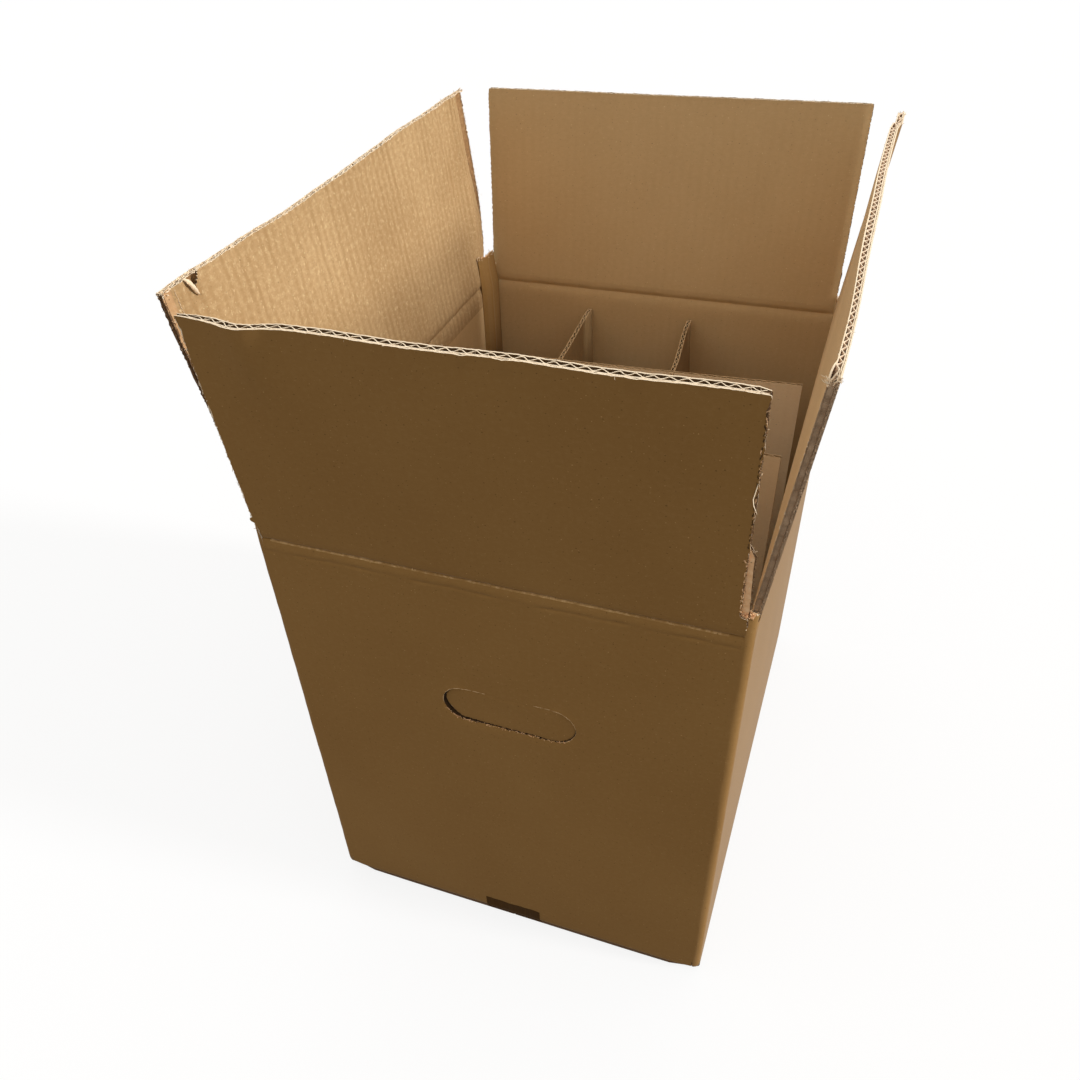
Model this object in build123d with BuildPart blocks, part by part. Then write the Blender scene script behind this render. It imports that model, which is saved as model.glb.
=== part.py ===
# A shipping box for twelve bottles, in double-wall corrugated board, open at the top.
# One folded blank makes the walls and the closed bottom. Four top flaps lean outwards.
# Interlocking single-wall partitions stand inside and split the case into cells.
# Millimetres. X runs across the narrow front panel, Y runs to the back and Z is up.
# The origin is the centre of the base, on the surface that the case stands on.
import os
from math import atan2, cos, sin

from build123d import *

# Case
case_width = 265.0
case_length = 350.0
minor_fold_height = 313.0
board = 4.5
corner_radius = 4.5
inner_corner_radius = 1.0
bottom_edge_radius = 3.5
layer_gap = 0.3
seam_gap = 1.1

# Top flaps, and the webs that stand at the corners between them
flap_lean = 6.5
flap_side_clearance = 0.5
flap_back_clearance = 0.3
fold_clearance = 0.35
corner_web_height = 8.0

# Crease pressed into the outside of each panel, just under its top fold
crease_drop = 6.5
crease_width = 4.0
crease_depth = 0.5

# Flutes of the thicker ply, open at the free edge of each flap
flute_pitch = 6.4
flute_height = 2.5
liner = 0.35
medium = 0.4
crushed_band = 3.5

# Hand holes in the front and back panels, each closed by its tab
hand_hole_length = 79.0
hand_hole_height = 26.0
hand_hole_centre_height = 219.5
hand_hole_offset = 8.0
tab_kerf = 0.8
tab_crease_gap = 0.4

# Lap that glues the blank into a tube, inside the front left corner
lap_width = 35.0
lap_thickness = 3.0
lap_taper = 8.0
lap_end_clearance = 6.0

# Partitions: long ones run front to back, cross ones run left to right. The set is a little
# smaller than the inside of the case, and it lies towards the left and the back.
sheet = 3.0
sheet_height = 290.0
front_play = 4.5
back_play = 2.5
left_play = 0.5
right_play = 8.5
long_sheet_spacing = 78.0
long_sheet_count = 2
cross_sheet_spacing = 92.0
cross_sheet_count = 3
slot_side_clearance = 0.25
slot_end_clearance = 0.5

# Tape over the bottom seam, turned up onto the front and back panels
tape_width = 40.0
tape_thickness = 0.1
tape_turn_up = 18.0
tape_bend_radius = 3.0

# How far a cutter reaches past the stock that it cuts
overrun = 1.0

# Places worked out from the values above
half_width = case_width / 2
half_length = case_length / 2
inside_half_width = half_width - board
inside_half_length = half_length - board
base_height = tape_thickness
major_layer_top = base_height + board
minor_layer_base = major_layer_top + layer_gap
floor_height = minor_layer_base + board
major_fold_height = minor_fold_height + board + layer_gap
web_top = minor_fold_height + corner_web_height
flap_length = half_width - seam_gap / 2
flap_inset = board + flap_side_clearance
long_sheet_length = 2 * inside_half_length - front_play - back_play
cross_sheet_length = 2 * inside_half_width - left_play - right_play
sheet_set_shift_x = (left_play - right_play) / 2
sheet_set_shift_y = (front_play - back_play) / 2

# A flap turns about a line just outside its panel. The bevels of the flap and the panel
# start this far above and below that line, so a closed flap clears its panel.
pivot_stand_off = flap_back_clearance / 2
bevel_offset = pivot_stand_off + fold_clearance / 2**0.5

# Each wall: the middle of its outer face, its outward direction, its fold height, the
# half span between the corner webs
walls = {
    "front": (Vector(0, -half_length), Vector(0, -1), minor_fold_height, inside_half_width),
    "back": (Vector(0, half_length), Vector(0, 1), minor_fold_height, inside_half_width),
    "left": (Vector(-half_width, 0), Vector(-1, 0), major_fold_height, inside_half_length),
    "right": (Vector(half_width, 0), Vector(1, 0), major_fold_height, inside_half_length),
}


def fold_plane(wall):
    """Plane across a wall at its top fold: x points outwards, y up, z along the fold."""
    foot, outward, fold_height, _ = walls[wall]
    return Plane(foot + Vector(0, 0, fold_height), x_dir=outward, z_dir=outward.cross(Vector(0, 0, 1)))


def hand_hole_place(wall):
    """Plane on the outer face of a panel, at the middle of its hand hole, y up."""
    foot, outward, _, _ = walls[wall]
    across = Vector(0, 0, 1).cross(outward)
    return Plane(
        foot + across * hand_hole_offset + Vector(0, 0, hand_hole_centre_height),
        x_dir=across,
        z_dir=outward,
    )


def write(builder, name):
    """Label a finished piece and write it out."""
    builder.part.label = name
    export_step(builder.part, f"parts/{name}.step")


os.makedirs("parts", exist_ok=True)

# Case body: walls and closed bottom, folded from one blank
with BuildPart() as case_body:
    with BuildSketch(Plane.XY.offset(base_height)):
        RectangleRounded(case_width, case_length, corner_radius)
    extrude(amount=web_top - base_height)
    fillet(case_body.faces().sort_by(Axis.Z)[0].outer_wire().edges(), bottom_edge_radius)
    with BuildSketch(Plane.XY.offset(major_layer_top)):
        RectangleRounded(2 * inside_half_width, 2 * inside_half_length, inner_corner_radius)
    extrude(amount=web_top, mode=Mode.SUBTRACT)

    # The outer bottom flaps meet at the seam and stop short of the front and back panels
    with BuildSketch(Plane.XY):
        Rectangle(seam_gap, case_length)
        for side in (-1, 1):
            with Locations((0, side * (half_length - flap_inset / 2))):
                Rectangle(2 * inside_half_width, flap_inset)
    extrude(amount=major_layer_top, mode=Mode.SUBTRACT)
    with BuildSketch(Plane.XY.offset(major_layer_top)):
        for side in (-1, 1):
            with Locations((0, side * (half_length - flap_inset / 2))):
                Rectangle(2 * inside_half_width, flap_inset)
    extrude(amount=layer_gap, mode=Mode.SUBTRACT)

    # The inner bottom flaps lie on the outer ones
    with BuildSketch(Plane.XY.offset(minor_layer_base)):
        for side in (-1, 1):
            with Locations((0, side * (half_length - flap_length / 2))):
                Rectangle(2 * (half_width - flap_inset), flap_length)
    extrude(amount=board)
    for wall in ("front", "back"):
        foot, outward, _, half_span = walls[wall]
        corner = foot + Vector(0, 0, minor_layer_base)
        with BuildSketch(Plane(corner, x_dir=outward, z_dir=outward.cross(Vector(0, 0, 1)))):
            Rectangle(bottom_edge_radius, bottom_edge_radius, align=(Align.MAX, Align.MIN))
            with Locations((-bottom_edge_radius, bottom_edge_radius)):
                Circle(bottom_edge_radius, mode=Mode.SUBTRACT)
        extrude(amount=half_span, both=True, mode=Mode.SUBTRACT)

    # Bevels at the top folds, which leave a web standing at each corner, and the creases
    groove_radius = (crease_width**2 / 4 + crease_depth**2) / (2 * crease_depth)
    for wall, (_, _, fold_height, half_span) in walls.items():
        with BuildSketch(fold_plane(wall)):
            Polygon(
                (overrun, overrun - bevel_offset),
                (overrun, web_top + overrun - fold_height),
                (-board - overrun, web_top + overrun - fold_height),
                (-board - overrun, -board - overrun - bevel_offset),
                align=None,
            )
            with Locations((groove_radius - crease_depth, -crease_drop)):
                Circle(groove_radius)
        extrude(amount=half_span, both=True, mode=Mode.SUBTRACT)

    for wall in ("front", "back"):
        with BuildSketch(hand_hole_place(wall)):
            SlotOverall(hand_hole_length, hand_hole_height)
        extrude(amount=-board, mode=Mode.SUBTRACT)

    # Glued lap on the inside of the front panel
    lap_low = floor_height + lap_end_clearance
    lap_high = minor_fold_height - bevel_offset - board - lap_end_clearance
    with BuildSketch(Plane.XZ.offset(inside_half_length)):
        Polygon(
            (-inside_half_width, lap_low),
            (lap_width - inside_half_width, lap_low + lap_taper),
            (lap_width - inside_half_width, lap_high - lap_taper),
            (-inside_half_width, lap_high),
            align=None,
        )
    extrude(amount=-lap_thickness)

write(case_body, "case_body")

# Top flaps. One straight cut across the blank made all their free edges, so a flap with a
# higher fold is shorter.
for wall, (_, _, fold_height, half_span) in walls.items():
    span = 2 * (half_span - flap_side_clearance)
    length = minor_fold_height + flap_length - fold_height
    upright = fold_plane(wall)
    pivot_line = Axis(upright.from_local_coords((pivot_stand_off, 0)), upright.z_dir)
    leaning = Plane(
        pivot_line.position,
        x_dir=upright.x_dir.rotate(Axis((0, 0, 0), upright.z_dir), -flap_lean),
        z_dir=upright.z_dir,
    )
    outer_face = -pivot_stand_off
    free_edge = Plane(
        leaning.from_local_coords((outer_face - board + liner, length)),
        x_dir=leaning.z_dir,
        z_dir=leaning.y_dir,
    )
    flute_slope = atan2(2 * flute_height, flute_pitch)
    channel_half_base = flute_pitch / 2 - medium / 2 / sin(flute_slope)
    channel_rise = flute_height - medium / 2 / cos(flute_slope)
    flute_count = int(span // flute_pitch)
    with BuildPart() as flap:
        with BuildSketch(leaning):
            Polygon(
                (outer_face, bevel_offset),
                (outer_face, length),
                (outer_face - board, length),
                (outer_face - board, bevel_offset + board),
                align=None,
            )
        extrude(amount=span / 2, both=True)
        with BuildSketch(free_edge):
            with GridLocations(flute_pitch, 0, flute_count, 1):
                Polygon((-channel_half_base, 0), (channel_half_base, 0), (0, channel_rise), align=None)
            with Locations((0, flute_height)):
                with GridLocations(flute_pitch, 0, flute_count - 1, 1):
                    Polygon((channel_half_base, 0), (-channel_half_base, 0), (0, -channel_rise), align=None)
        extrude(amount=-(length - bevel_offset - board - crushed_band), mode=Mode.SUBTRACT)
    write(flap, f"flap_{wall}")

# Tabs in the hand holes
for wall in ("front", "back"):
    with BuildPart() as tab:
        with BuildSketch(hand_hole_place(wall)):
            with Locations((0, (tab_kerf - tab_crease_gap) / 2)):
                SlotOverall(hand_hole_length - 2 * tab_kerf, hand_hole_height - tab_kerf - tab_crease_gap)
        extrude(amount=-board)
    write(tab, f"hand_hole_tab_{wall}")

# Partitions. Long sheets are slotted from the top and cross sheets from the bottom.
slot_width = sheet + 2 * slot_side_clearance
slot_depth = sheet_height / 2 + slot_end_clearance
for number in range(long_sheet_count):
    place = sheet_set_shift_x + (number - (long_sheet_count - 1) / 2) * long_sheet_spacing
    with BuildPart() as long_sheet:
        with BuildSketch(Plane.YZ.offset(place)):
            with Locations((sheet_set_shift_y, floor_height + sheet_height / 2)):
                Rectangle(long_sheet_length, sheet_height)
            with Locations((sheet_set_shift_y, floor_height + sheet_height - slot_depth / 2)):
                with GridLocations(cross_sheet_spacing, 0, cross_sheet_count, 1):
                    Rectangle(slot_width, slot_depth, mode=Mode.SUBTRACT)
        extrude(amount=sheet / 2, both=True)
    write(long_sheet, f"long_partition_{number + 1}")

for number in range(cross_sheet_count):
    place = sheet_set_shift_y + (number - (cross_sheet_count - 1) / 2) * cross_sheet_spacing
    with BuildPart() as cross_sheet:
        with BuildSketch(Plane.XZ.offset(-place)):
            with Locations((sheet_set_shift_x, floor_height + sheet_height / 2)):
                Rectangle(cross_sheet_length, sheet_height)
            with Locations((sheet_set_shift_x, floor_height + slot_depth / 2)):
                with GridLocations(long_sheet_spacing, 0, long_sheet_count, 1):
                    Rectangle(slot_width, slot_depth, mode=Mode.SUBTRACT)
        extrude(amount=sheet / 2, both=True)
    write(cross_sheet, f"cross_partition_{number + 1}")

# Tape along the bottom seam
with BuildPart() as bottom_tape:
    with BuildSketch(Plane.YZ):
        with Locations((0, tape_turn_up / 2)):
            outside = Rectangle(case_length + 2 * tape_thickness, tape_turn_up)
        fillet(outside.vertices().group_by(Axis.Y)[0], tape_bend_radius + tape_thickness)
    extrude(amount=tape_width / 2, both=True)
    with BuildSketch(Plane.YZ):
        with Locations((0, tape_thickness + tape_turn_up / 2)):
            inside = Rectangle(case_length, tape_turn_up)
        fillet(inside.vertices().group_by(Axis.Y)[0], tape_bend_radius)
    extrude(amount=tape_width / 2, both=True, mode=Mode.SUBTRACT)

write(bottom_tape, "bottom_tape")
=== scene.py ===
import math
import random

import bpy
import numpy as np
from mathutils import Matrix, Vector
from mathutils.geometry import delaunay_2d_cdt


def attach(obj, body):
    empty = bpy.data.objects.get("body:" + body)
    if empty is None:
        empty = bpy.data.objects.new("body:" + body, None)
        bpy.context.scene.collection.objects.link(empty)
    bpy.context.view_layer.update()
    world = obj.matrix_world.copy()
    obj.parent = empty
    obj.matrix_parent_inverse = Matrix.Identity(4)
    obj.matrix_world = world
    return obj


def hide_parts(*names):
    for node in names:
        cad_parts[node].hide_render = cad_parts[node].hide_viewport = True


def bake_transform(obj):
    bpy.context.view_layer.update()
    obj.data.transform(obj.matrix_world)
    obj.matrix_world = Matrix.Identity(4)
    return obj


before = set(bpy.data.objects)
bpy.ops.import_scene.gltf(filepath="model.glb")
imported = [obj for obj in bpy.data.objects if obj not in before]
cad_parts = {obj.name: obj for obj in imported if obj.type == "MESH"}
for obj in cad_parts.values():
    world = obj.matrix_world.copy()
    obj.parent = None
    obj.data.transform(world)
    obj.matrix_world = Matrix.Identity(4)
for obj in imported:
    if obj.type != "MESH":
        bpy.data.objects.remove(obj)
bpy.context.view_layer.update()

# ---------------- sizes, in millimetres
MM = 0.001
BOARD = 4.5  # thickness of the double-wall board
HALF_W, HALF_L = 132.5, 175.0  # of the case, outside
CORNER_R, INNER_R, BOTTOM_R = 4.5, 1.0, 3.5
MINOR_FOLD, MAJOR_FOLD = 313.0, 317.8  # folds of the front and back flaps, of the side flaps
MINOR_FLAP, MAJOR_FLAP, BOTTOM_FLAP = 131.95, 127.15, 131.95  # lengths
MINOR_SPAN, MAJOR_SPAN = 127.5, 170.0  # half widths of the flaps
LEAN = math.radians(6.5)  # of the open flaps, outwards
STAND_OFF = 0.15  # of a flap's pivot from the outer face
BAND_LOW, BAND_HIGH = -14.0, 6.0  # creased band at a fold
WEB_TOP = 321.0  # of the mesh at the corners, before each web gets its height
WEB_HEIGHTS = {"front": 326.0, "right": 325.0, "back": 326.0, "left": 319.5}  # torn corner webs
BOTTOM_ROW = 13.0  # where a wall goes over into its bottom flap
MINOR_BASE, MAJOR_BASE = 4.9, 0.1  # undersides of the inner and the outer bottom flaps
MAJOR_BASE_SPAN = 172.7  # half width of the outer ones
HOLE_S, HOLE_Z, HOLE_HALF, HOLE_R = 8.0, 219.5, 39.5, 13.0  # hand hole: middle, half length, radius
HOLE_FAR = HOLE_HALF - HOLE_R  # from the hand hole's middle to the centres of its ends
HINGE_HALF = 26  # half width of a tab's hinge
PATCH_HALF, PATCH_LOW, PATCH_HIGH = 48, 200, 240  # part of a panel meshed round its hand hole
B_PITCH, E_PITCH = 6.4, 3.2  # of the flutes
GRID = 3.2  # of the walls' and partitions' meshes
BACK_UV = np.array([5000.0, 0.0])  # keeps the texture of an inner skin apart from the outer one's
SHEET, SHEET_LOW, SHEET_HIGH = 3.0, 9.4, 299.4  # partitions: thickness, lower and upper edge
SHEET_LINER = 0.3  # half the thickness of a partition's liners and medium
SLOT_HALF, SLOT_DEPTH = 1.75, 145.5
CROSS_AT, LONG_AT = (-91.0, 1.0, 93.0), (-43.0, 35.0)  # y of the cross ones, x of the long ones
CROSS_ENDS, LONG_ENDS = (-127.5, 119.5), (-166.0, 168.0)
CROSS_LENGTH = CROSS_ENDS[1] - CROSS_ENDS[0]
LAP_START, LAP_END = -170.4, -141.5  # of the glued lap along the left wall

# Half of a wall's length, its fold height, half span and length of its flap
MINOR = dict(half=HALF_W, fold=MINOR_FOLD, span=MINOR_SPAN, length=MINOR_FLAP)
MAJOR = dict(half=HALF_L, fold=MAJOR_FOLD, span=MAJOR_SPAN, length=MAJOR_FLAP)
# Each wall: directions along it and outwards, middle of its outer face, start of its texture
WALLS = {
    name: dict(kind, along=np.array([*along, 0.0]), out=np.array([*out, 0.0]),
               foot=np.array([*out, 0.0]) * depth, u=u)
    for name, along, out, depth, kind, u in (
        ("front", (1, 0), (0, -1), HALF_L, MINOR, 0.0),
        ("right", (0, 1), (1, 0), HALF_W, MAJOR, 313.6),
        ("back", (-1, 0), (0, 1), HALF_L, MINOR, 627.2),
        ("left", (0, -1), (-1, 0), HALF_W, MAJOR, 940.8),
    )
}

OUTER, INNER, CUT, MEDIUM, PRESSED, TORN_AND_LIT, SCUFF_AND_HIGHLIGHT, SLIT = range(8)  # material slots of the board


# ---------------- small helpers
def smooth(x, a, b):
    """0 below a, 1 above b, eased between."""
    t = np.clip((np.asarray(x, float) - a) / (b - a), 0, 1)
    return t * t * (3 - 2 * t)


def hump(x, centre, width):
    """A bell curve, 1 at its centre."""
    return np.exp(-(((np.asarray(x, float) - centre) / width) ** 2))


def eased(x, xs, ys):
    """Values ys at xs, with a level tangent at each."""
    x = np.asarray(x, float)
    i = np.clip(np.searchsorted(xs, x) - 1, 0, len(xs) - 2)
    xs, ys = np.asarray(xs, float), np.asarray(ys, float)
    t = np.clip((x - xs[i]) / (xs[i + 1] - xs[i]), 0, 1)
    return ys[i] + (ys[i + 1] - ys[i]) * t * t * (3 - 2 * t)


def wobble(x, seed, *periods):
    """A smooth irregular wave between about -1 and 1."""
    draw = random.Random(seed)
    total = 0.0
    for p in periods:
        period = p * draw.uniform(0.85, 1.15)
        total = total + np.sin(2 * np.pi * np.asarray(x, float) / period + draw.uniform(0, 6.28))
    return total / len(periods) ** 0.5


def steps(a, b, pitch):
    """Even steps from a to b, as near the pitch as they come."""
    return np.linspace(a, b, max(1, round(abs(b - a) / pitch)) + 1)


def middles(x):
    return (x[1:] + x[:-1]) / 2


def run_along(path):
    return np.cumsum(np.r_[0, np.hypot(*np.diff(path, axis=0).T)])


def flute(s, pitch):
    """Wave of a corrugated medium, between straight and round."""
    return np.arcsin(0.96 * np.sin(2 * np.pi * s / pitch)) / math.asin(0.96)


def added(name, data):
    """A new object in the scene."""
    obj = bpy.data.objects.new(name, data)
    bpy.context.scene.collection.objects.link(obj)
    return obj


# ---------------- mesh building
class Mesh:
    """Points in millimetres, texture places and faces, gathered into one object."""

    def __init__(self):
        self.co, self.uv, self.loops, self.mats, self.count = [], [], [], [], 0

    def add(self, co, uv):
        """Add points and give the number of the first."""
        co = np.asarray(co, float).reshape(-1, 3)
        self.co.append(co)
        self.uv.append(np.asarray(uv, float).reshape(-1, 2))
        first = self.count
        self.count += len(co)
        return first

    def faces(self, corners, mat):
        corners = np.asarray(corners, int)
        if corners.size:
            corners = corners.reshape(-1, corners.shape[-1])
            self.loops.append(corners)
            self.mats.append((mat, len(corners)))

    def sheet(self, outer, inner, uv, mats, keep=None, closed=False):
        """Two skins on one grid (along, up), joined wherever the kept cells end.

        mats: outer skin, inner skin, upper and lower rims, and last the side rims. For a skin
        it may be one material a cell.
        """
        ni, nj = outer.shape[:2]
        grid = np.arange(ni * nj).reshape(ni, nj)
        a = self.add(outer, uv) + grid
        b = self.add(inner, uv + BACK_UV) + grid
        nc = ni if closed else ni - 1
        if keep is None:
            keep = np.ones((nc, nj - 1), bool)
        i, j = np.nonzero(keep)
        i1 = (i + 1) % ni
        for quads, mat in ((np.stack([a[i, j], a[i1, j], a[i1, j + 1], a[i, j + 1]], 1), mats[0]),
                           (np.stack([b[i, j], b[i, j + 1], b[i1, j + 1], b[i1, j]], 1), mats[1])):
            for k in np.unique(mat):
                self.faces(quads[mat[i, j] == k] if np.ndim(mat) else quads, int(k))
        pad = np.zeros((nc + 2, nj + 1), bool)
        pad[1:-1, 1:-1] = keep
        if closed:
            pad[0, 1:-1], pad[-1, 1:-1] = keep[-1], keep[0]
        for bare, p, q, rim in (
            (~pad[i + 1, j], (i1, j), (i, j), mats[2]),
            (~pad[i + 1, j + 2], (i, j + 1), (i1, j + 1), mats[2]),
            (~pad[i, j + 1], (i, j), (i, j + 1), mats[-1]),
            (~pad[i + 2, j + 1], (i1, j + 1), (i1, j), mats[-1]),
        ):
            p, q = (p[0][bare], p[1][bare]), (q[0][bare], q[1][bare])
            self.faces(np.stack([a[p], a[q], b[q], b[p]], 1), rim)

    def build(self, name, materials, angle=50):
        co = np.concatenate(self.co) * MM
        uv = np.concatenate(self.uv) * MM
        mesh = bpy.data.meshes.new(name)
        polys = [tuple(r) for block in self.loops for r in block.tolist()]
        mesh.from_pydata(co.tolist(), [], polys)
        index = np.concatenate([np.full(n, k, int) for k, n in self.mats])
        mesh.polygons.foreach_set("material_index", index)
        mesh.polygons.foreach_set("use_smooth", np.ones(len(polys), bool))
        layer = mesh.uv_layers.new(name="board")
        which = np.zeros(len(mesh.loops), int)
        mesh.loops.foreach_get("vertex_index", which)
        layer.data.foreach_set("uv", uv[which].ravel())
        for m in materials:
            mesh.materials.append(m)
        mesh.validate()
        mesh.set_sharp_from_angle(angle=math.radians(angle))
        return added(name, mesh)


def place(wall, s, v, d):
    """Board coordinates to space: s along the wall, v up from its fold, d out from its outer face."""
    w = WALLS[wall]
    s, v, d = np.broadcast_arrays(np.asarray(s, float), v, d)
    leaning = v > 0
    r = np.where(leaning, STAND_OFF + math.sin(LEAN) * v + math.cos(LEAN) * (d - STAND_OFF), d)
    z = np.where(leaning, math.cos(LEAN) * v - math.sin(LEAN) * (d - STAND_OFF), v)
    flat = w["foot"] + w["along"] * s[..., None] + w["out"] * r[..., None]
    return np.stack([flat[..., 0], flat[..., 1], w["fold"] + z], -1)


def board_uv(wall, s, v):
    s, v = np.broadcast_arrays(np.asarray(s, float), v)
    return np.stack([WALLS[wall]["u"] + s, WALLS[wall]["fold"] + v], -1)


def bend_at_fold(piece, wall):
    """Bakes the place of a piece across a fold into its mesh."""
    pivot = place(wall, 0.0, 0.0, STAND_OFF) * MM
    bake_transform(piece)


# ---------------- materials
def srgb(r, g, b):
    def lin(c):
        c /= 255
        return c / 12.92 if c <= 0.04045 else ((c + 0.055) / 1.055) ** 2.4

    return (lin(r), lin(g), lin(b), 1)


class Nodes:
    """Short forms for building a node tree."""

    def __init__(self, owner):
        owner.use_nodes = True
        self.tree = owner.node_tree

    def feed(self, node, pairs):
        """Link or set inputs, each given with its name or number."""
        for key, source in pairs:
            if isinstance(source, bpy.types.NodeSocket):
                self.tree.links.new(source, node.inputs[key])
            else:
                node.inputs[key].default_value = source

    def feed_named(self, node, **sockets):
        self.feed(node, ((key.replace("_", " "), source) for key, source in sockets.items()))

    def new(self, kind, **sockets):
        node = self.tree.nodes.new("ShaderNode" + kind)
        self.feed_named(node, **sockets)
        return node

    def fed(self, kind, *sources, operation=None, **sockets):
        """A new node's first output. The sources go into its first inputs, the sockets by name."""
        node = self.new(kind, **sockets)
        if operation:
            node.operation = operation
        self.feed(node, zip(range(len(sources)), sources))
        return node.outputs[0]

    def noise(self, vector, scale, detail, rough, stretch=None):
        if stretch:
            vector = self.fed("Mapping", vector, Scale=(*stretch, 1))
        return self.new("TexNoise", Vector=vector, Scale=scale, Detail=detail, Roughness=rough).outputs["Fac"]

    def ranged(self, value, a, b, low, high):
        return self.fed("MapRange", value, From_Min=a, From_Max=b, To_Min=low, To_Max=high)

    def mixed(self, factor, a, b):
        node = self.new("Mix")
        node.data_type = "RGBA"
        self.feed(node, ((0, factor), (6, a), (7, b)))
        return node.outputs[2]

    def coated(self, distance, height, **sockets):
        """Feed the principled shader, with a bump of this distance from the height."""
        bump = self.new("Bump", Strength=0.3, Distance=distance, Height=height).outputs["Normal"]
        self.feed_named(self.tree.nodes["Principled BSDF"], Normal=bump, **sockets)

    def background_rays(self):
        """1 for rays that show the background: seen directly, mirrored or let through."""
        path = self.new("LightPath").outputs
        total = path["Is Camera Ray"]
        for kind in ("Is Glossy Ray", "Is Transmission Ray"):
            total = self.fed("Math", total, path[kind], operation="MAXIMUM")
        return total


def paper(name, base, dark, pale, pitch=0.0, ribs=0.0, rough=0.9, grain=1.0, specks=1.0, clouds=0.6,
          relief=1.0, glint=0.25, sheen=(0.03, 0.5)):
    """Uncoated kraft paper: cloudy formation, long fibres, dark and pale specks, faint ribs that are partly painted
    shade, and pale flecks as painted glints.
    """
    base, dark, pale = srgb(*base), srgb(*dark), srgb(*pale)
    mat = bpy.data.materials.new(name)
    n = Nodes(mat)
    uv = n.new("UVMap").outputs["UV"]
    cloud = n.noise(uv, 9, 4, 0.5)
    flock = n.noise(uv, 300, 3, 0.65, (1, 1.3))
    fibre = n.noise(uv, 1, 2, 0.6, (240, 1500))
    colour = n.mixed(n.ranged(cloud, 0.35, 0.65, clouds, 0), base, dark)
    for source, a, b, amount, tint in ((flock, 0.5, 0.75, 0.6 * grain, pale), (flock, 0.5, 0.28, 0.6 * grain, dark),
                                       (fibre, 0.42, 0.2, 0.4, dark), (fibre, 0.64, 0.8, 0.4, pale)):
        colour = n.mixed(n.ranged(source, a, b, 0, amount), colour, tint)
    height = n.fed("Math", n.ranged(fibre, 0, 1, 0, 0.4 * relief), n.ranged(flock, 0, 1, 0, 0.9 * relief))
    if ribs:
        # A wave texture's bands are pi tenths of a unit apart at scale 1
        wave = n.new("TexWave", Vector=uv, Scale=1 / (pitch * MM) / 3.1831, Distortion=2.0)
        wave.wave_type, wave.bands_direction, wave.wave_profile = "BANDS", "X", "SIN"
        patchy = n.noise(uv, 1, 3, 0.6, (75, 11))
        amount = n.fed("Math", wave.outputs["Fac"], n.ranged(patchy, 0.36, 0.6, 0.45, 1), operation="MULTIPLY")
        # Dark bands along the flutes: partly their glue lines, partly painted shade in the washboard's valleys
        colour = n.mixed(n.ranged(amount, 0.3, 1, 0, 0.75 * ribs), colour, dark)
        # Pale flecks: painted glints
        spark = n.noise(uv, 1, 2, 0.7, (620, 300))
        colour = n.mixed(n.ranged(spark, 0.6, 0.76, 0, glint), colour, pale)
        height = n.fed("Math", height, n.ranged(amount, 0, 1, 0, -1.8 * ribs))
    spot = n.noise(uv, 800, 0, 0.5, (1.0, 1.3))
    deep = tuple(c * 0.3 for c in dark[:3]) + (1,)
    colour = n.mixed(n.ranged(spot, 0.78, 0.82, 0, 0.8 * specks), colour, deep)
    spot_pale = n.noise(uv, 1000, 0, 0.5)
    bright = tuple(min(1, c * 1.7) for c in pale[:3]) + (1,)
    colour = n.mixed(n.ranged(spot_pale, 0.2, 0.15, 0, 0.7 * specks), colour, bright)
    n.coated(0.00016, height, Base_Color=colour, Roughness=n.ranged(flock, 0.3, 0.7, rough - 0.06, rough + 0.06),
             Specular_IOR_Level=0.12, Sheen_Weight=sheen[0], Sheen_Roughness=sheen[1],
             Sheen_Tint=(1.0, 0.94, 0.9, 1))
    return mat


FACE = dict(pitch=B_PITCH, ribs=0.12, grain=0.22, specks=0.5, clouds=0.4, glint=0.1)
DIVIDER = dict(FACE, ribs=0.2, grain=0.3)
ROUGH = dict(rough=0.95)
kraft_outer = paper("kraft_outer", (145, 110, 63), (133, 98, 53), (165, 130, 86), pitch=E_PITCH, ribs=0.08,
                    grain=0.3, specks=0.7, clouds=0.45, glint=0.1, sheen=(0.4, 0.25))
kraft_inner = paper("kraft_inner", (205, 173, 127), (184, 150, 104), (224, 196, 152), **FACE)
# Paler copy of the inner liner for the right flap, which lies in shade: painted light
kraft_inner_lit = paper("kraft_inner_lit", (225, 191, 143), (203, 167, 118), (244, 216, 171), **FACE)
# Inner liner of the left flap, with strong dark ribs and glints: partly painted shade, and painted highlights
kraft_ribbed = paper("kraft_inner_ribbed", (188, 156, 113), (152, 119, 78), (228, 202, 158), pitch=B_PITCH,
                     ribs=0.6, grain=0.55, specks=0.6, clouds=0.6, relief=1.5, glint=0.8)
# Cut and torn edges: pale fibre, made paler still as a painted highlight
cut_edge_and_highlight = paper("cut_edge_and_highlight", (250, 234, 208), (220, 190, 150), (254, 246, 228), rough=0.95, grain=0.6, specks=0.8)
# The medium and the hidden faces inside the board, darker than the paper is: painted shade in the flutes' hollows
medium_paper_shaded = paper("medium_paper_shaded", (122, 94, 62), (98, 72, 44), (148, 120, 86), **ROUGH)
# Paler copy of the medium for the right flap: painted light
medium_lit = paper("medium_paper_lit", (232, 208, 182), (200, 172, 142), (246, 226, 204), **ROUGH)
medium_tan = paper("medium_paper_tan", (160, 124, 84), (128, 94, 60), (190, 156, 114), **ROUGH)
pressed_edge = paper("pressed_edge", (118, 90, 64), (88, 66, 46), (160, 132, 100), rough=0.95, grain=1.2, specks=1.5)
# Paler copy of the pressed edge for the right flap: painted light
pressed_edge_lit = paper("pressed_edge_lit", (172, 146, 120), (132, 110, 88), (236, 214, 186), rough=0.95,
                          grain=1.2, specks=1.5)
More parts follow.
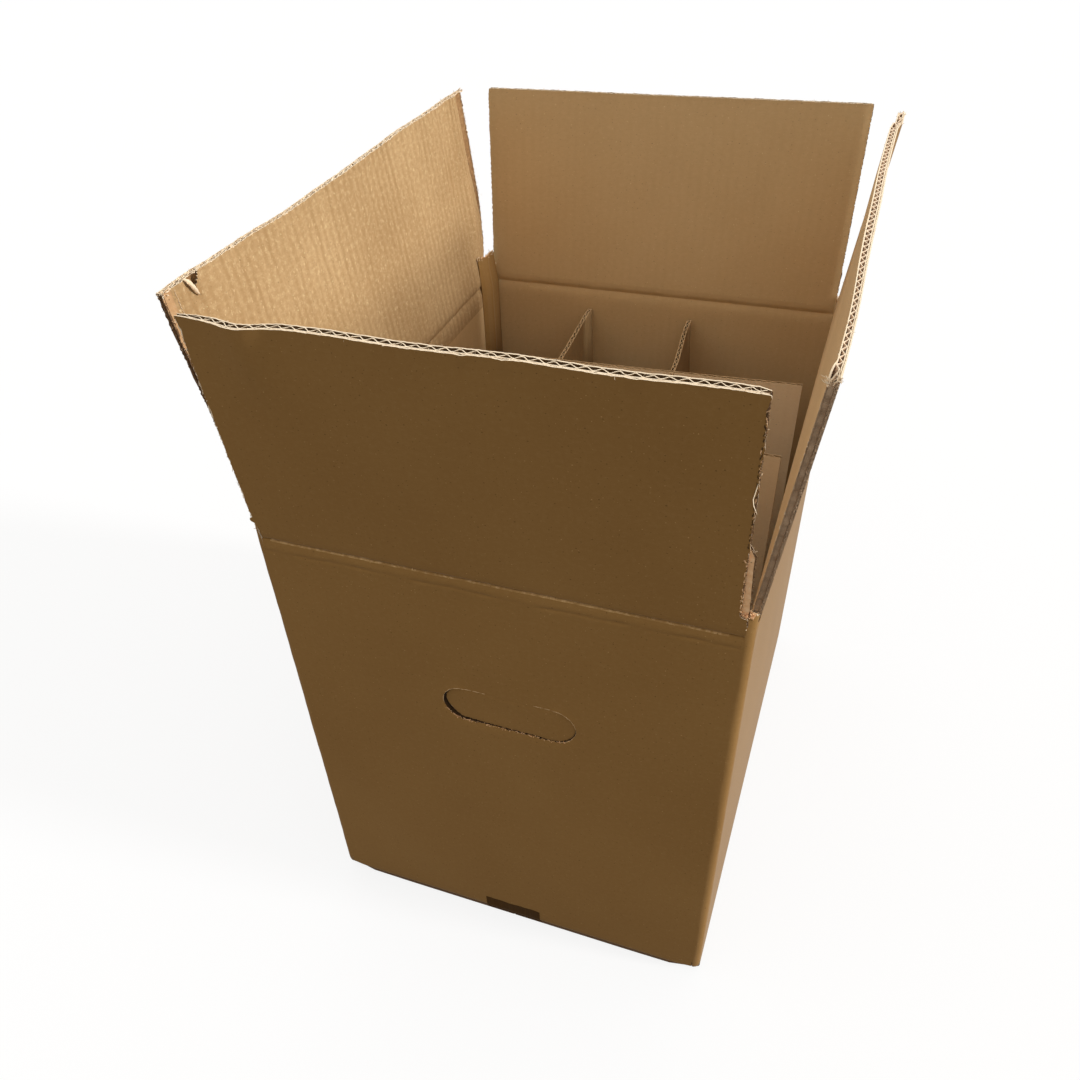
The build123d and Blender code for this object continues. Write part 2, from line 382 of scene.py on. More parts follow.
# Pale torn paper. On the front flap's torn strip, which lies in shade, its paleness is also painted light
torn_face_and_painted_light = paper("torn_face_and_painted_light", (240, 196, 150), (214, 166, 118), (252, 226, 190), rough=0.95, grain=0.8)
torn_tan = paper("torn_tan", (196, 158, 116), (170, 132, 92), (222, 190, 150), rough=0.95, grain=0.8)
# Paler paper along the fold line: partly worn fibre, partly a painted highlight
crease_wear_and_highlight = paper("crease_wear_and_highlight", (184, 147, 98), (146, 110, 64), (214, 180, 130), rough=0.95, grain=1.6, clouds=1.0)
# Dark brown for the hand holes' cut walls, the rims of the tabs and the gaps along a cut: painted shade
slit_edge_shade = paper("slit_edge_shade", (74, 54, 34), (54, 38, 24), (104, 80, 54), **ROUGH)
kraft_sheet = paper("kraft_sheet", (190, 160, 118), (170, 138, 96), (212, 184, 144), **DIVIDER)
# Darker copy for the sides of the long partitions that face the key light: painted shade
kraft_sheet_shaded = paper("kraft_sheet_shaded", (158, 130, 90), (138, 110, 72), (184, 156, 114), **DIVIDER)
# Paler copy for the cross partitions, whose faces lie in shade: painted light
kraft_sheet_lit = paper("kraft_sheet_lit", (246, 224, 190), (228, 202, 164), (252, 236, 208), **DIVIDER)
sheet_edge = paper("sheet_edge", (196, 166, 126), (176, 144, 104), (214, 186, 148), **ROUGH)
sheet_medium = paper("sheet_medium", (170, 140, 102), (146, 116, 80), (190, 160, 120), **ROUGH)
BOARD_MATS = (kraft_outer, kraft_inner, cut_edge_and_highlight, medium_paper_shaded, pressed_edge, torn_face_and_painted_light, crease_wear_and_highlight, slit_edge_shade)
# The right flap takes the paler copies: painted light on its inner face and cut edges
RIGHT_MATS_LIT = (kraft_outer, kraft_inner_lit, cut_edge_and_highlight, medium_lit, pressed_edge_lit) + BOARD_MATS[TORN_AND_LIT:]
LEFT_MATS = (kraft_outer, kraft_ribbed, cut_edge_and_highlight, medium_tan, pressed_edge, torn_tan, crease_wear_and_highlight, slit_edge_shade)
FLAP_MATS = {"front": BOARD_MATS, "right": RIGHT_MATS_LIT, "back": BOARD_MATS, "left": LEFT_MATS}
LONG_MATS = (kraft_sheet_shaded, kraft_sheet, sheet_edge, sheet_medium)
CROSS_MATS = (kraft_sheet_lit, kraft_sheet_lit, sheet_edge, sheet_medium)


# ---------------- board shape near the folds
def swell(wall, s, z):
    """How far the panel stands out from flat, outwards."""
    w = WALLS[wall]
    bow = np.cos(np.pi / 2 * np.clip(s / w["half"], -1, 1)) * np.sin(np.pi * np.clip(z / w["fold"], 0, 1))
    soft = smooth(w["half"] - np.abs(s), 0, 25) * smooth(z, 0, 30) * smooth(w["fold"] - z, 0, 30)
    return 0.6 * bow + 0.12 * soft * wobble(s + 0.6 * z, wall, 90, 47, 130)


def crease_out(v):
    """Outer face at a fold, pressed in along it."""
    return np.interp(v, [-10.5, -8, -6, -4.2, -2.6, -1.2, -0.5, -0.25, 0.0, 0.35, 0.9, 4.0],
                     [0, 0.12, 0.24, 0.16, -0.16, -0.66, -1.0, -1.5, -1.85, -1.1, -0.45, 0])


def crease_in(v):
    """Inner face at a fold, grooved by the creasing wheel."""
    return np.interp(v, [-13.5, -10, -8, -6, -4, -2, -0.6, 0.0, 0.5, 1.6, 3.2, 6.0],
                     [0, 0.04, 0.1, 0.24, 0.5, 0.95, 1.5, 1.75, 1.5, 0.75, 0.25, 0])


# Share of its thickness that the board loses beside a slot, and how far in
CRUSH = {("right", -1): (0.06, 3), ("left", 1): (0.12, 4), ("front", 1): (0.3, 5), ("front", -1): (0.25, 5)}


def side_crush(wall, s):
    """Share of its thickness that the board keeps beside the slots."""
    s = np.asarray(s, float)
    keep = np.ones_like(s)
    for end in (-1, 1):
        depth, reach = CRUSH.get((wall, end), (0.14, 3.5))
        keep = keep - depth * (1 - smooth(WALLS[wall]["span"] - end * s, 0, reach))
    return keep


# ---------------- flaps
# Warp, dents and torn corners of each flap, for one of its layers
def shape_front(s, v, d, layer):
    up = smooth(v, 85, 128)
    t = s + MINOR_SPAN
    d = d * (1 - 0.45 * (1 - smooth(t, 2, 22)) * up)
    d = d + up * (3.2 * hump(t, 31, 11) - 0.8 * (1 - smooth(t, 0, 18)))
    dents = hump(t, 134, 2.0) + hump(t, 151, 2.2) + 0.6 * hump(t, 203, 2.5)
    d = d + (layer == "outer") * smooth(v, 124, 131) * 0.7 * dents
    # The liner is torn off beside the slot, below 54 and above 13
    torn = 1 - smooth(v, 52, 56)
    strip = torn * smooth(v, 12.4, 13.6)
    s = s - 2.8 * smooth(s, 95, MINOR_SPAN) * (1 - torn) - 1.3 * smooth(-s, 95, MINOR_SPAN) * smooth(v, 7, 10)
    s = s - 2.2 * smooth(-s, 120, MINOR_SPAN) * hump(v, 13.0, 1.3)
    if layer in ("outer", "E"):
        s = s - 2.9 * smooth(s, 108, 125) * strip
    elif layer == "mid":
        s = s + (0.4 + 0.8 * (1 - smooth(v, 15, 45))) * smooth(s, 108, 126) * strip
    else:
        s = s - 0.8 * smooth(s, 108, 126) * strip
    s = s + 0.8 * smooth(s, 118, 127) * (1 - smooth(v, 12.4, 13.6))
    v = v + 0.35 * smooth(v, 60, 130) * wobble(s, "fv", 210, 80)
    return s, v, d + smooth(v, 20, 110) * 0.45 * wobble(s, "fd", 190, 90)


def shape_back(s, v, d, layer):
    s = s + (2.2 + 1.3 * smooth(v, 30, 130)) * smooth(s, 90, MINOR_SPAN) * smooth(v, 6, 10)
    return s, v, d + smooth(v, 20, 130) * 0.5 * wobble(s, "bd", 220, 110)


def shape_left(s, v, d, layer):
    up = smooth(v, 55, 120)
    v = v + smooth(v, 60, 127) * eased(s, [-170, -140, -75, -40, 20, 65, 105, 140, 160, 170],
                                       [2.4, 2.9, 3.0, 1.9, 1.1, 0.3, 1.6, 1.8, 1.2, 0.8])
    d = d + (0.8 + 2.2 * smooth(s, 40, 168)) * (v - 6) / 121
    deep = layer in ("inner", "B")
    away = smooth(v, 12, 40)
    if layer == "inner":
        d = d + smooth(s, 164.6, 165.6) * away * 1.3 - 0.45 * hump(s, 163.6, 1.2) * away
        d = d - 2.4 * smooth(v, 110, 127) * (0.8 * hump(s, 149.4, 2.2) + 0.5 * hump(s, 158.5, 3.0))
    if layer == "B":
        d = d + 0.9 * smooth(s, 162.5, 165)
    d = d - up * 0.7 * hump(s, 138, 13) + up * 0.9 * hump(s, 152, 9)
    s = s + 2.0 * smooth(s, 130, 168) * up
    # The back cut, torn further in on the inner layers
    cut = np.interp(v, [6, 9, 15, 22, 30, 45, 60, 100, 127],
                    [0, 9, 17, 12, 7, 4.5, 6, 10.5, 12] if deep else [0, 7, 14, 9, 5, 1.5, 0.2, 0, 0])
    cut = cut + 0.5 * wobble(v, "lbcut" + layer, 23, 9) * deep * smooth(v, 8, 20)
    s = s + cut * (1 - smooth(s + MAJOR_SPAN, 0, 32))
    edge = s + MAJOR_SPAN
    if deep:
        d = d + away * (-1.5 * hump(edge, 21.5, 5.5) + 1.3 * hump(edge, 38, 12) + 1.2 * (1 - smooth(edge, 11, 15)))
    else:
        d = d + away * (0.5 * hump(edge, 30, 14) - 0.7 * (1 - smooth(edge, 0, 3)))
    return s, v, d + smooth(v, 20, 120) * 0.7 * wobble(s, "ld", 260, 120)


def shape_right(s, v, d, layer):
    up = smooth(v, 50, 127)
    d = d * (1 - 0.26 * up * (1 - smooth(s, -120, -10)) * smooth(s, -166, -158))
    d = d * (1 - 0.1 * up * smooth(s, 146, 152))
    d = d - up * 1.9 * smooth(s, -60, 60) * (1 - smooth(s, 139, 150)) + 0.2 * up * smooth(s, 150, MAJOR_SPAN)
    drop = {"inner": 5.2, "B": 4.6, "mid": 3.0, "E": 2.2, "outer": 1.4}[layer]
    torn = drop + 0.7 * wobble(s, "rtear" + layer, 5, 2.3)
    v = v - torn * smooth(-s, 163.5, 169.5) * smooth(v, 108, 127)
    if layer in ("inner", "B"):
        s = s + (0.5 + 0.45 * wobble(v, "rcut" + layer, 29, 13, 7)) * smooth(-s, 150, 167)
    d = d + smooth(v, 20, 120) * 0.4 * wobble(s, "rd", 240, 130)
    return s, v + 0.6 * (s > 140) * smooth(v, 118, 127) * wobble(s, "rtip", 11, 5), d


SHAPES = {"front": shape_front, "back": shape_back, "left": shape_left, "right": shape_right}
FLAT = (0, 1)  # a liner has no wave: height and pitch of its flutes


def flap(wall):
    """A top flap: two fluted mediums between three liners, with frayed side cuts."""
    w = WALLS[wall]
    span, length = w["span"], w["length"]
    m = Mesh()

    def shaped(s, v, d, layer):
        return place(wall, *SHAPES[wall](s, v, d * side_crush(wall, s), layer))

    def skin(layer, pitch, rows, centre, wave, half, mats, short=0.0, rag=1.0, ripple=0.0, top=0.0):
        """One sheet of the board: centre and half are the depth of its middle and half its thickness."""
        cols = steps(short - span, span - short, pitch)
        s, v = np.meshgrid(cols, rows, indexing="ij")
        half = half + 0.07 * smooth(v, length - 1.3, length - 0.3)
        cell_s, cell_v = middles(cols), middles(rows)
        keep = None
        if wall == "left" and layer == "inner":
            # The notch in the free edge, and the torn strip beside the front cut
            off = np.abs(cell_s - 151.6)
            tear = 127.5 - 7.0 * np.clip(1 - off / 3.8, 0, 1) ** 0.8
            keep = cell_v[None] < np.where(off < 3.8, tear, 999)[:, None]
            paint = np.where((cell_s > 165.3)[:, None] & (cell_v > 14)[None], TORN_AND_LIT, INNER)
            mats = (mats[0], paint) + mats[2:]
        if layer in ("B", "E"):
            # Inside the board the mediums are out of sight, so they run only near its cuts
            keep = (cell_v > length - 14)[None] | (np.abs(cell_s) > span - 10)[:, None]
        ends = np.sign(s) * (np.abs(s) > span - short - 0.01)
        ragged = 0.4 * wobble(v, f"{wall}r{layer}", 2.3, 5.1, 9.7) + 0.25 * wobble(v, f"{wall}q{layer}", 17, 31)
        s = s + ends * rag * ragged
        v = v + (v > length - top - 0.01) * 0.12 * wobble(s, f"{wall}t{layer}", 2.9, 7.3, 19)
        base = centre + wave[0] * flute(s, wave[1])
        if ripple:
            strength = 0.8 + 0.25 * wobble(s * 0.4 + v * 0.13, wall + "k", 19, 41)
            phase = 2 * np.pi * s / B_PITCH + 0.8 * wobble(v + 0.4 * s, "ph", 60, 33, 17)
            base = base - ripple * strength * np.cos(phase) * smooth(v, 6, 16)
        m.sheet(shaped(s, v, base + half, layer), shaped(s, v, base - half, layer), board_uv(wall, s, v), mats, keep)

    rows = np.array([6, 7.5, 9, 11, 12.2, 13.4, 15, 18, 22, 26, 30, 35, 40, 47, 51.5, 53, 54.5, 56, 63, 71, 79, 86,
                     93, 99, 104, 108, 112, 115, 118, 120.4, 122.4, 124.2, 125.6, 126.6])
    rows = BAND_HIGH + (rows - BAND_HIGH) * (length - 0.55 - BAND_HIGH) / (rows[-1] - BAND_HIGH)
    rows = np.append(rows, length)
    deep = np.array([6, 8, 10, 12.5, 15, 18, 22, 26, 30, 36, 44, 51, 54, 57, 66, 76, 87, 98, 108, 116, 122,
                     length - 3, length - 0.9, length - 0.15])
    side = PRESSED if wall in ("left", "right") else CUT
    fluted = (MEDIUM, MEDIUM, CUT, PRESSED)
    fine, ripple = (0.8, 0.2) if wall == "left" else (1.6, 0.05)
    skin("outer", 1.6, rows, -0.27, FLAT, 0.27, (OUTER, MEDIUM, CUT, side))
    skin("inner", fine, rows, -4.23, FLAT, 0.27, (MEDIUM, INNER, CUT, side), ripple=ripple)
    # Where the outer plies are torn off, the mid liner's outer face shows the pale torn paper, partly painted light
    skin("mid", 3.2, deep, -1.25, FLAT, 0.2, (TORN_AND_LIT, MEDIUM, CUT, PRESSED), short=0.6, rag=0.6, top=0.1)
    skin("B", B_PITCH / 8, deep, -2.71, (1.06, B_PITCH), 0.2, fluted, short=1.6, rag=0.3, top=0.15)
    skin("E", E_PITCH / 6, deep, -0.8, (0.26, E_PITCH), 0.1, fluted, short=1.0, rag=0.3, top=0.15)

    # Pressed, frayed paper along the side cuts
    rnd = random.Random(wall + "fray")
    vs = steps(7, length - 0.6, 0.7)
    for end in (-1, 1):
        pale = CUT if (wall, end) == ("front", -1) else INNER if wall == "back" else PRESSED
        for layer, depth, thick, mat in (("outer", -0.26, 0.14, pale), ("E", -0.8, 0.3, PRESSED),
                                         ("mid", -1.25, 0.12, pale), ("B", -2.7, 1.15, PRESSED),
                                         ("inner", -4.24, 0.14, pale)):
            tips = np.array([max(0.0, rnd.gauss(0.1, 0.38)) + (0.9 if rnd.random() < 0.05 else 0) for _ in vs])
            block = thick > 0.3
            reach = tips * 0.25 - 0.5 if block else tips * 0.4 - 0.3
            root = span - (2.2 if block else 0.8)
            tip = reach + 0.12 if block else np.minimum(tips, 0.45)
            s = np.stack([np.full(len(vs), end * root), end * (span + reach), end * (span + tip)], 0)[::end]
            v = np.broadcast_to(vs, s.shape)
            lift = np.array([rnd.uniform(-0.2, 0.2) for _ in vs]) * (not block)
            d = depth + lift * np.abs(np.abs(s) - root)
            m.sheet(shaped(s, v, d + thick, layer), shaped(s, v, d - thick, layer), board_uv(wall, s, v), (mat,) * 4)
    piece = m.build(f"flap_{wall}_board", FLAP_MATS[wall])
    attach(piece, f"flap_{wall}")
    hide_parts(f"flap_{wall}")


def fold_band(wall):
    """The creased board between a panel and its flap."""
    w = WALLS[wall]
    m = Mesh()
    rows = np.array([BAND_LOW, -12, -10.4, -9.2, -8.5, -8.1, -7.7, -7.3, -6.9, -6.5, -6.1, -5.6, -4.9, -4.2, -3.4,
                     -2.6, -1.9, -1.2, -0.8, -0.5, -0.25, -0.05, 0.15, 0.4, 0.9, 1.8, 3.0, 4.4, BAND_HIGH])
    s, v = np.meshgrid(steps(-w["span"], w["span"], 2.4), rows, indexing="ij")
    waver = 0.45 * wobble(s, wall + "c", 150, 61, 29) - 0.1
    level = v + waver * smooth(v, BAND_LOW, -9) * (1 - smooth(v, -4, -1))
    body = swell(wall, s, w["fold"] + np.minimum(v, 0)) * (1 - smooth(v, -8, 0))
    below = 1 - smooth(v, -1.5, 1.5)
    ends = 1 - 0.9 * (1 - smooth(w["span"] - np.abs(s), 0, 5)) * below
    crush = 1 + (side_crush(wall, s) - 1) * (1 - below)
    # Cells along the fold line take the paler crease paper: partly wear, partly a painted highlight
    scuffed_and_lit = (np.abs(s[1:, 0]) < w["span"] - 7)[:, None] & ((rows[1:] > -0.85) & (rows[1:] < -0.2))[None]
    above = 0.8 * (wall == "front") * smooth(s, 118, 127) * (1 - below)
    s = s * (1 + (w["half"] - CORNER_R + 0.4 - w["span"]) / w["span"] * below) + above
    uneven = (1 + 0.16 * wobble(s, wall + "e", 60, 26, 13)) * ends
    groove = np.clip(0.34 + 0.3 * wobble(s, wall + "g", 67, 31, 17), 0.05, 0.8) * ends
    outer = place(wall, s, v, body + crease_out(level) * uneven - groove * hump(level, -7.2, 1.2))
    inner = place(wall, s, v, body + (-BOARD + crease_in(level) * uneven) * crush)
    m.sheet(outer, inner, board_uv(wall, s, v), (np.where(scuffed_and_lit, SCUFF_AND_HIGHLIGHT, OUTER), INNER, CUT, PRESSED))
    piece = m.build(f"fold_{wall}", LEFT_MATS if wall == "left" else BOARD_MATS, angle=75)
    bend_at_fold(piece, wall)


# ---------------- case
def hole_distance(s, z):
    """Distance from the hand hole's outline, negative inside it."""
    return np.hypot(np.maximum(np.abs(s - HOLE_S) - HOLE_FAR, 0), z - HOLE_Z) - HOLE_R


def beside_hole(cols):
    """The cells of a panel between the sides of the patch round its hand hole."""
    mid = middles(cols)
    return (mid > HOLE_S - PATCH_HALF) & (mid < HOLE_S + PATCH_HALF)


def panel(wall, s, z):
    """Outer and inner skin of a wall, with the lip that the hand hole's cutter left."""
    lip = 0.0
    if wall in ("front", "back"):
        away = np.exp(-np.maximum(hole_distance(s, z), 0) / 1.1)
        hinge = smooth(z, HOLE_Z + 8, HOLE_Z + 12) * (np.abs(s - HOLE_S) < HINGE_HALF)
        lifted = smooth(z, HOLE_Z + 1, HOLE_Z + 9) * (1 - hinge)
        lip = away * (0.45 * lifted - 0.5 * (1 - smooth(z, HOLE_Z - 6, HOLE_Z + 2)))
    fold, body = WALLS[wall]["fold"], swell(wall, s, z)
    return place(wall, s, z - fold, body + lip), place(wall, s, z - fold, body - BOARD)


def tuck(gap, z):
    """How far a lower corner is pushed up, by the distance along the wall from the corner."""
    return 1.5 * (1 - smooth(gap, 0, 10)) * (1 - smooth(z, 5, 30))


def under(z):
    """How far the wall goes in at its rounded lower edge."""
    left = np.maximum(MINOR_BASE + BOTTOM_R - z, 0)
    return BOTTOM_R - np.sqrt(np.maximum(0, BOTTOM_R**2 - left**2))


def case_walls(m):
    """The four walls up to the folds and the corners with their torn webs, one closed tube."""
    z = np.array([MINOR_BASE, 5.6, 7, 9, BOTTOM_ROW, 20, 28, 36, *range(44, 196, 8), *range(200, 241, 4),
                  *range(248, 296, 8), 295, 299, 303.8, 308, MINOR_FOLD, 317, WEB_TOP])
    zmid = middles(z)
    outer, inner, uv, keep, webs, gaps = [], [], [], [], [], []
    names = list(WALLS)
    for number, (wall, w) in enumerate(WALLS.items()):
        along, out = w["along"][:2], w["out"][:2]
        flat = w["half"] - CORNER_R
        cols = steps(-flat, flat, GRID)
        s, zz = np.meshgrid(cols, z, indexing="ij")
        o, i = panel(wall, s, zz)
        outer += list(o - w["out"] * under(zz)[..., None])
        inner += list(i)
        uv += list(board_uv(wall, s, zz - w["fold"]))
        webs += [WEB_HEIGHTS[names[number - 1]]] + [WEB_TOP] * (len(cols) - 2) + [WEB_HEIGHTS[wall]]
        gaps += list(flat - np.abs(cols))
        k = np.zeros((len(cols) - 1, len(z) - 1), bool)
        k[:, (z[:-1] >= BOTTOM_ROW) & (z[1:] <= w["fold"] + BAND_LOW + 0.01)] = True
        if wall in ("front", "back"):
            k[np.ix_(beside_hole(cols), (zmid > PATCH_LOW) & (zmid < PATCH_HIGH))] = False
        keep += [k, np.ones((7, len(z) - 1), bool)]
        # Corner to the next wall
        centre = w["foot"][:2] + along * flat - out * CORNER_R
        inner_centre = centre + (along + out) * (CORNER_R - BOARD - INNER_R)
        radius = CORNER_R - under(z) + 0.12 * wobble(z, wall + "corner", 60, 23, 140)
        for a in np.linspace(0, math.pi / 2, 8)[1:-1]:
            way = out * math.cos(a) + along * math.sin(a)
            outer.append(np.column_stack([centre + way * radius[:, None], z]))
            inner.append(np.column_stack([np.broadcast_to(inner_centre + way * INNER_R, (len(z), 2)), z]))
            uv.append(np.column_stack([np.full(len(z), w["u"] + flat + CORNER_R * a), z]))
            webs.append(WEB_HEIGHTS[wall] + 0.8)
            gaps.append(0.0)
    outer, inner, uv = np.array(outer), np.array(inner), np.array(uv)
    rnd = random.Random("webs")
    rise = (np.array(webs) - WEB_TOP)[:, None] * smooth(z, 303, WEB_TOP)[None]
    rise[:, -1] += [rnd.uniform(-2.0, 0.8) for _ in outer]
    rise += tuck(np.array(gaps)[:, None], z[None])
    outer[..., 2] += rise
    inner[..., 2] += rise
    m.sheet(outer, inner, uv, (OUTER, INNER, CUT, CUT), keep=np.concatenate(keep), closed=True)


def hole_patch(m, wall):
    """The part of a panel round its hand hole."""
    flat = HALF_W - CORNER_R
    cols = steps(-flat, flat, GRID)
    pick = np.nonzero(beside_hole(cols))[0]
    cols = cols[pick[0]: pick[-1] + 2]
    pts = [(s, z) for s in cols for z in np.arange(PATCH_LOW, PATCH_HIGH + 1, 4.0) if hole_distance(s, z) > 3.0]
    ring = []
    for sign in (1, -1):
        c = HOLE_S + sign * HOLE_FAR
        ring += [(c + sign * math.cos(a) * HOLE_R, HOLE_Z + sign * math.sin(a) * HOLE_R)
                 for a in np.linspace(-math.pi / 2, math.pi / 2, 27)]
        ring += [(s, HOLE_Z + sign * HOLE_R) for s in steps(c, HOLE_S - sign * HOLE_FAR, 1.6)[1:-1]]
    rnd = random.Random(wall + "hole")
    rough = np.array([(s, z + rnd.gauss(0, 0.34 if z < HOLE_Z - 4 else 0.05)) for s, z in ring])
    # A second ring 0.8 outside the cut keeps the triangles beside it even
    heart = np.column_stack([np.clip(rough[:, 0], HOLE_S - HOLE_FAR, HOLE_S + HOLE_FAR), np.full(len(rough), HOLE_Z)])
    way = rough - heart
    near = rough + way / np.linalg.norm(way, axis=1)[:, None] * 0.8
    loop = [(k, (k + 1) % len(rough)) for k in range(len(rough))]
    verts, _, tris, *_ = delaunay_2d_cdt([Vector(p) for p in (*rough, *near, *pts)], loop, [], 0, 1e-5)
    co = np.array([tuple(p) for p in verts])
    tris = np.array([t for t in tris if len(t) == 3])
    tris = tris[hole_distance(*co[tris].mean(1).T) > -0.35]
    # Of these, those inside the ragged cut go too
    x, y = co[tris].mean(1).T[..., None]
    x1, y1 = rough.T
    x2, y2 = np.roll(x1, -1), np.roll(y1, -1)
    crossed = ((y1 > y) != (y2 > y)) & (x < (x2 - x1) * (y - y1) / (y2 - y1 + 1e-12) + x1)
    tris = tris[np.count_nonzero(crossed, axis=1) % 2 == 0]
    a, b, c = co[tris].transpose(1, 0, 2)
    flip = np.cross(b - a, c - a) < 0
    tris[flip] = tris[flip][:, ::-1]
    o, i = panel(wall, *co.T)
    uv = board_uv(wall, co[:, 0], co[:, 1] - WALLS[wall]["fold"])
    first, second = m.add(o, uv), m.add(i, uv + BACK_UV)
    m.faces(tris + first, OUTER)
    m.faces(tris[:, ::-1] + second, INNER)
    p, q = np.array(loop).T
    # The cut wall takes the dark slit paper: painted shade
    m.faces(np.stack([p + first, q + first, q + second, p + second], 1), SLIT)


def bottom_fold(m, wall, low, span):
    """The lower fold of a wall and the bottom flap that it carries."""
    w = WALLS[wall]
    flat = w["half"] - CORNER_R

    def path(top, level, radius):
        """Down the wall, round the fold and inwards, given from its far end."""
        bend = [(top - radius + radius * math.cos(t), level + radius - radius * math.sin(t))
                for t in np.linspace(0, math.pi / 2, 6)]
        return np.array([(top, BOTTOM_ROW)] + bend + [(-d, level) for d in (20, 50, 90, 120, BOTTOM_FLAP)])[::-1]

    out_path, in_path = path(0, low, BOTTOM_R), path(-BOARD, low + BOARD, 0.8)
    run = run_along(out_path)
    close = [steps(span - 12.8, span, 2.1), steps(-span, 12.8 - span, 2.1)]
    cols = np.unique(np.concatenate([steps(-span, span, 2 * GRID)] + close).round(3))
    skins, uv = ([], []), []
    for s in cols:
        row = s
        if span > flat:
            row = s * (1 - 2.6 / span * (1 - smooth(-out_path[:, 0], 2, 11)))
        for skin, (d, z), top in ((skins[0], out_path.T, 0), (skins[1], in_path.T, -BOARD)):
            lift = tuck(max(0.0, flat - abs(s)), z) * smooth(d, -30, -4)
            skin.append(place(wall, row, z + lift - w["fold"], d + swell(wall, s, z) * (d > top - 0.01)))
        uv.append(board_uv(wall, s, BOTTOM_ROW - (run[-1] - run) - w["fold"]))
    m.sheet(np.array(skins[0]), np.array(skins[1]), np.array(uv), (OUTER, INNER, CUT, PRESSED))


case = Mesh()
case_walls(case)
for wall in ("front", "back"):
    hole_patch(case, wall)
    bottom_fold(case, wall, MINOR_BASE, MINOR_SPAN)
for wall in ("left", "right"):
    bottom_fold(case, wall, MAJOR_BASE, MAJOR_BASE_SPAN)
case_piece = case.build("case_board", BOARD_MATS)
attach(case_piece, "case")
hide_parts("case_body")
for wall in WALLS:
    flap(wall)
    fold_band(wall)


# ---------------- glued lap, torn above the fold
def lap_top(s):
    """Height above the fold at which the lap is torn off."""
    level = np.interp(s, [LAP_START, -165, -158, -150, -146, -143, -141], [17.6, 18.8, 18.4, 20.2, 21.0, 22.4, 21.6])
    return level + 0.5 * wobble(s, "laptop", 7, 3.1)


def glued_lap():
    """The lap of the joint, glued inside the left wall. Its top is torn."""
    m = Mesh()
    levels = np.r_[np.linspace(0, 0.9, 20), 0.93, 0.96, 0.98, 1.0]
    s, q = np.meshgrid(steps(LAP_START, LAP_END, 1.0), levels, indexing="ij")
    low = 15.4 - MAJOR_FOLD + 6 * smooth(s, -150, LAP_END)
    v = low + (lap_top(s) - low) * q
    thick = np.maximum(0.45, 2.3 - 1.1 * smooth(v, -4, 12) - 1.9 * (1 - smooth(-s, -LAP_END, 145)))
    ridge = 0.5 * hump(s, -156.5, 0.9) + 0.12 * wobble(s + 0.4 * v, "lap", 23, 11)
    base = swell("left", s, MAJOR_FOLD + np.minimum(v, 0)) - BOARD - 0.9 * smooth(v, 4, 22) * hump(s, -150, 14)
    o, i = place("left", s, v, base - 0.02), place("left", s, v, base - thick - ridge)
    # The face towards the box takes the darker outer paper: painted shade
    m.sheet(o, i, board_uv("left", s, v), (INNER, OUTER, TORN_AND_LIT, OUTER))
    bend_at_fold(m.build("glued_lap", BOARD_MATS), "left")


glued_lap()


# ---------------- hand-hole tabs
def hand_tab(wall, push, twist):
    """The tab that closes a hand hole, pushed in at its lower edge and twisted."""
    m = Mesh()
    rnd = random.Random(wall + "tab")
    gap = 0.5
    radius = HOLE_R - gap
    # Outline by t: the middle six tenths are straight, the rest goes round the ends
    t = np.linspace(-1, 1, 121)
    arc = np.clip((np.abs(t) - 0.6) / 0.4, 0, 1) * math.pi / 2
    line = np.sign(t) * (HOLE_FAR * np.minimum(np.abs(t) / 0.6, 1) + radius * np.sin(arc))
    r = radius * np.cos(arc)
    hinge = (np.abs(line) < HINGE_HALF) * 1.0
    top = HOLE_Z + r + (gap + 0.02) * hinge * smooth(r, HOLE_R - 3, radius)
    low = HOLE_Z - r - 0.05 + np.array([rnd.gauss(0, 0.2) for _ in t]) * (r > 3)
    low = low + 0.8 * smooth(-line, 5, 34) * (r > 1)
    q = np.linspace(0, 1, 21) ** 0.9
    s = HOLE_S + np.repeat(line[:, None], len(q), 1)
    s = s + 0.9 * smooth(HOLE_S - s, 24, 38)
    z = low[:, None] + (top - low)[:, None] * q[None]
    drop = smooth(HOLE_Z + 12.5 - z, 0, 24) ** 0.8
    sunk = drop * (push + twist * (HOLE_S - s) / HOLE_HALF) + 0.8 * smooth(np.abs(s - HOLE_S), 24, 38)
    near_edge = np.exp(-np.minimum(np.abs(z - low[:, None]), 9) / 0.8)
    fold = 0.25 * hump(z, HOLE_Z + 12.4, 0.7) * (np.abs(s - HOLE_S) < 30)
    base, v = swell(wall, s, z) - sunk, z - MINOR_FOLD
    o, i = place(wall, s, v, base - 0.45 * near_edge - fold), place(wall, s, v, base - BOARD)
    # Its rims take the dark slit paper: painted shade in the gap round the tab
    m.sheet(o, i, board_uv(wall, s, v), (OUTER, INNER, SLIT, SLIT))
    piece = m.build(f"hand_hole_{wall}", BOARD_MATS)
    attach(piece, f"hand_hole_tab_{wall}")
    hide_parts(f"hand_hole_tab_{wall}")


hand_tab("front", 0.62, 0.5)
hand_tab("back", 0.35, 0.1)


